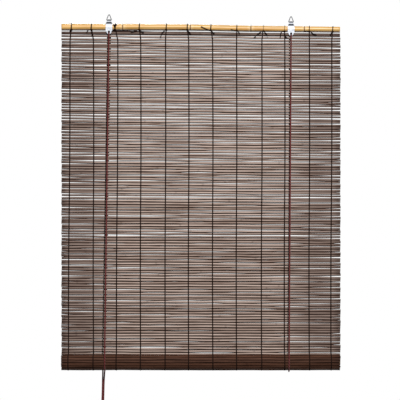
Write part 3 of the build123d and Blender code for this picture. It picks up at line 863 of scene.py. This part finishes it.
# Braided polyester: dark red plaits with a dull sheen, each plait painted lighter and the lines between
# them painted darker as painted light and shade, and painted black as shade inside the eyelets. The plaits
# are drawn about twice as coarse as they are, so that they show.
braid, tree, place = new_material("braided_polyester_cord")
# Painted light and shade: the plait bands are painted lighter, with darker lines between them.
plaits = add_node(tree, "ShaderNodeTexWave", {
    "Vector": place, "Scale": 0.314 / (3.2 * MM), "Distortion": 0.8, "Detail": 1},
    wave_type="BANDS", bands_direction="DIAGONAL")
lint = add_node(tree, "ShaderNodeTexNoise", {"Vector": place, "Scale": 1 / (1.2 * MM), "Detail": 3})
_, eyelet_distance = clip_places(tree, place)
# Painted shade: the cord is painted black within the eyelet, as the shade inside the hole.
painted_eyelet_shade = add_node(tree, "ShaderNodeMapRange", {
    "Value": eyelet_distance, "From Min": 1.8 * MM, "From Max": 2.6 * MM, "To Min": 0.95, "To Max": 0})
red = linear("#3F1414")
for share, tone in ((plaits.outputs[1], "#6B2827"), (lint.outputs[0], "#5F2423"),
                    (painted_eyelet_shade.outputs[0], "#100708")):
    red = add_node(tree, "ShaderNodeMix", {0: share, 6: red, 7: linear(tone)}, data_type="RGBA").outputs[2]
plait_bump = add_node(tree, "ShaderNodeBump", {
    "Height": plaits.outputs[1], "Strength": 0.5, "Distance": 0.4 * MM})
surface = add_node(tree, "ShaderNodeBsdfPrincipled", {
    "Base Color": red, "Roughness": 0.75, "Normal": plait_bump.outputs[0],
    "Sheen Weight": 0.15, "Sheen Roughness": 0.4, "Specular IOR Level": 0.25})
add_node(tree, "ShaderNodeOutputMaterial", {0: surface.outputs[0]})


def plaited_section(along):
    """Rounded plaits that wind round the cord."""
    wind = math.tau * along / CORD_PLAIT
    outline = []
    for k in range(CORD_SIDES):
        angle = math.tau * k / CORD_SIDES
        reach = CORD_RADIUS * (1 + CORD_PLAIT_RELIEF * (math.cos(CORD_PLAITS * (angle - wind)) - 1))
        outline.append((reach * math.cos(angle), reach * math.sin(angle)))
    return outline


def straight_line(start, end):
    count = max(2, round((end - start).length / CORD_STEP))
    return [start.lerp(end, k / count) for k in range(count + 1)]


def plaited_cord(name, line):
    return join_tubes(name, [(line, plaited_section, CORD_SIDES, False)], braid)


eyelet_bends = {}
for side, x, inward, shift in (("left", -CLIP_X, 1, LEFT_FOOT_SHIFT),
                               ("right", CLIP_X, -1, RIGHT_FOOT_SHIFT)):
    foot_height = ROLL_DEPTH + CORD_CLEARANCE
    strap_reach = pole_radius(x) + STRAP_REACH
    slope_drop = POLE_FALL / POLE_LENGTH * (x - POLE_MIDDLE)
    row_1_top = ROWS_TOP - slope_drop * (1 - 1 / (SLAT_COUNT - 1))
    threading = ((MAT_TOP - FIRST_SLAT_WIDTH - slope_drop) + row_1_top) / 2
    front_foot = Vector((x + shift, -ROLL_RADIUS - BIGHT_RADIUS, foot_height))
    front_bend = Vector((x, -strap_reach - EYELET_FLANGE - EYELET_BEND, threading))
    front_top = front_bend + (front_foot - front_bend).normalized() * CORD_TAIL
    front_cord = plaited_cord(f"{side}_front_strand", straight_line(front_foot, front_top))

    anchor_rise = (pole_radius(x) + RING_BAR_HEIGHT - RING_WIRE_RADIUS) / 2
    anchor = Vector((x + inward * ANCHOR_OFFSET, 0, pole_axis(x) + anchor_rise))
    back_bend = anchor + Vector((0, strap_reach + BACK_CORD_GAP + CORD_RADIUS, 0))
    back_foot = Vector((x + shift, -ROLL_RADIUS + BIGHT_RADIUS, foot_height))
    downwards = (back_foot - back_bend).normalized()
    back_top = back_bend + downwards * (anchor_rise + ANCHOR_DROP)
    back_cord = plaited_cord(f"{side}_back_strand", straight_line(back_foot, back_top))
    for strand, top in ((front_cord, front_top), (back_cord, back_top)):
        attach(strand, "head")
        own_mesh(strand)
    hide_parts(f"{side}_front_cord")
    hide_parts(f"{side}_back_cord")

    under = [on_roll(x + shift, BIGHT_RADIUS, math.pi * (1 - k / BIGHT_STEPS))
             for k in range(BIGHT_STEPS + 1)]
    bight = plaited_cord(f"{side}_bight", under)
    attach(bight, "cord_sling")
    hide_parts(f"{side}_cord_bight")

    bent_end = smooth_line([anchor, anchor.lerp(back_bend, ANCHOR_BEND_SHARE),
                            back_bend + downwards * ANCHOR_BEND, back_top], CORD_BEND_STEPS)
    knot_line = overhand_knot(anchor, ANCHOR_KNOT_ACROSS, ANCHOR_KNOT_HEIGHT)
    knot_section = round_section(ANCHOR_KNOT_RADIUS, ANCHOR_KNOT_SIDES)
    anchor_knot = join_tubes(f"{side}_anchor_end", [
        (bent_end, plaited_section, CORD_SIDES, False),
        (knot_line, knot_section, ANCHOR_KNOT_SIDES, True)], braid)
    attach(anchor_knot, "head")
    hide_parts(f"{side}_anchor_knot")
    eyelet_bends[side] = (front_top, front_bend)

# Pull cords: both lift cords go on through their eyelets and the top of the mat. The left one hangs
# down behind it. The right one crosses behind the mat, over the left one, and hangs beside it.
# They are knotted together just below the photograph's edge.
LEFT_EXIT_DEPTH = 9.4 * MM
CROSS_DEPTH = 4.8 * MM
CROSS_SAG = 3 * MM
LAP_RADIUS = 2.9 * MM
# The points of the pull cords, in millimetres from the mat's plane under the left clip, at the roll.
PULL_LEFT = ((-7.5, 9.4, 6), (-11.2, 9.6, -40), (-11.8, 9.4, -73), (-12.8, 8.8, -102), (-13.3, 8.5, -124))
PULL_RIGHT = ((-12.6, 8.0, 16), (-14.0, 7.9, -40), (-14.7, 7.9, -73), (-16.0, 8.4, -102), (-16.5, 8.5, -124))


def turned(before, corner, after, run):
    """Three points that make a tight bend of that run at a corner."""
    arriving, leaving = (before - corner).normalized(), (after - corner).normalized()
    return [corner + arriving * run, corner, corner + leaving * run]


def pull_cord(name, points):
    """A cord on one smooth curve, led by its points."""
    line = bpy.data.curves.new(name, "CURVE")
    line.dimensions = "3D"
    line.bevel_depth = CORD_RADIUS
    line.bevel_resolution = 4
    line.use_fill_caps = True
    spline = line.splines.new("NURBS")
    spline.points.add(len(points) - 1)
    for spline_point, point in zip(spline.points, points):
        spline_point.co = (*point, 1)
    spline.order_u = 3
    spline.use_endpoint_u = True
    spline.resolution_u = 10
    line.materials.append(braid)
    piece = bpy.data.objects.new(name, line)
    bpy.context.scene.collection.objects.link(piece)
    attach(piece, "head")
    return piece


pull_frame = Vector((-CLIP_X, 0, ROLL_DEPTH))
left_points = [pull_frame + Vector(place) * MM for place in PULL_LEFT]
right_points = [pull_frame + Vector(place) * MM for place in PULL_RIGHT]
left_top, left_bend = eyelet_bends["left"]
right_top, right_bend = eyelet_bends["right"]
left_exit = Vector((-CLIP_X, LEFT_EXIT_DEPTH, left_bend.z))
right_exit = Vector((CLIP_X, CROSS_DEPTH, right_bend.z))
lap_bend = Vector((-CLIP_X - LAP_RADIUS, CROSS_DEPTH, left_bend.z + LAP_RADIUS))
cross_middle = (right_exit + lap_bend) / 2 - Vector((0, 0, CROSS_SAG))

left_pull = pull_cord("left_pull", [
    left_top, *turned(left_top, left_bend, left_exit, EYELET_BEND),
    *turned(left_bend, left_exit, left_points[0], EYELET_BEND), *left_points])
right_pull = pull_cord("right_pull", [
    right_top, *turned(right_top, right_bend, right_exit, EYELET_BEND),
    *turned(right_bend, right_exit, cross_middle, EYELET_BEND), cross_middle,
    *turned(cross_middle, lap_bend, right_points[0], LAP_RADIUS), *right_points])

# Pull knot: the two cords are tied in one overhand knot, and their heat-cut ends stick out below it.
PULL_KNOT_HEIGHT = 10 * MM
PULL_KNOT_REACH = 2.9 * MM
PULL_KNOT_STEPS = 72
PULL_KNOT_LEAD = 3 * MM
# The way of a cord out of the knot: steps to the side and up from the knot's centre, in millimetres.
PULL_KNOT_TAIL = ((1, 0), (1.6, -6), (2.6, -13))
knot_top = (left_points[-1] + right_points[-1]) / 2
knot_centre = knot_top - Vector((0, 0, PULL_KNOT_HEIGHT / 2))
knot_line = overhand_knot(knot_centre, PULL_KNOT_REACH, PULL_KNOT_REACH, PULL_KNOT_STEPS)
knot_parts = [(knot_line, plaited_section, CORD_SIDES, True)]
for end, spread in ((left_points[-1], 1), (right_points[-1], -1)):
    run = [end, end - Vector((0, 0, PULL_KNOT_LEAD))]
    run += [knot_centre + Vector((spread * out, 0, up)) * MM for out, up in PULL_KNOT_TAIL]
    knot_parts.append((smooth_line(run, CORD_BEND_STEPS), plaited_section, CORD_SIDES, False))
pull_knot = join_tubes("pull_knot_tied", knot_parts, braid)
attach(pull_knot, "head")
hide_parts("pull_knot")
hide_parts("left_pull_cord")
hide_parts("right_pull_cord")

# Floor, light and camera: the blind hangs before a white backdrop, lit from above the camera and a
# little to its right, so that the underside of the roll is in shadow. A weaker lamp lights its back.
floor_height = -2.4
floor_reach = 0.6
floor_cloth, tree, place = new_material("pale_floor")
speckle = add_node(tree, "ShaderNodeTexNoise", {"Vector": place, "Scale": 1 / (80 * MM)})
floor_tone = add_node(tree, "ShaderNodeMix", {
    0: speckle.outputs[0], 6: linear("#E4E3E0"), 7: linear("#EDECEA")}, data_type="RGBA")
surface = add_node(tree, "ShaderNodeBsdfPrincipled", {"Base Color": floor_tone.outputs[2], "Roughness": 0.8})
add_node(tree, "ShaderNodeOutputMaterial", {0: surface.outputs[0]})
floor = new_piece("floor", [(x * floor_reach, y * floor_reach, floor_height)
                            for x, y in ((-1, -1), (1, -1), (1, 1), (-1, 1))], [(0, 1, 2, 3)], floor_cloth)

world = bpy.data.worlds.new("white_backdrop")
bpy.context.scene.world = world
world.use_nodes = True
tree = world.node_tree
tree.nodes.clear()
rays = add_node(tree, "ShaderNodeLightPath").outputs
seen = rays["Is Camera Ray"]
for kind in ("Is Glossy Ray", "Is Transmission Ray"):
    seen = add_node(tree, "ShaderNodeMath", {0: seen, 1: rays[kind]}, operation="MAXIMUM").outputs[0]
strength = add_node(tree, "ShaderNodeMapRange", {"Value": seen, "To Min": 0.05, "To Max": 1})
backdrop = add_node(tree, "ShaderNodeBackground", {"Color": (1, 1, 1, 1), "Strength": strength.outputs[0]})
add_node(tree, "ShaderNodeOutputWorld", {0: backdrop.outputs[0]})

camera_distance = 8
view_width = 861.6 * MM
view_middle = Vector((-0.1 * MM, 0, -396 * MM))
camera_data = bpy.data.cameras.new("camera")
camera_data.sensor_width = 36
camera_data.lens = camera_data.sensor_width * camera_distance / view_width
camera = bpy.data.objects.new("camera", camera_data)
camera.location = view_middle - Vector((0, camera_distance, 0))
camera.rotation_euler = (math.radians(90), 0, 0)
bpy.context.scene.collection.objects.link(camera)
bpy.context.scene.camera = camera

for name, energy, size, place in (("key", 250, 0.4, (0.45, -4.2, 2.0)), ("back", 120, 1.2, (-0.6, 3.8, 1.8))):
    lamp_data = bpy.data.lights.new(name, "AREA")
    lamp_data.shape = "DISK"
    lamp_data.size = size
    lamp_data.energy = energy
    lamp = bpy.data.objects.new(name, lamp_data)
    lamp.location = place
    lamp.rotation_euler = (view_middle - lamp.location).to_track_quat("-Z", "Y").to_euler()
    bpy.context.scene.collection.objects.link(lamp)

bpy.data.objects.remove(slat_blank)
bpy.context.scene.view_settings.view_transform = "Standard"
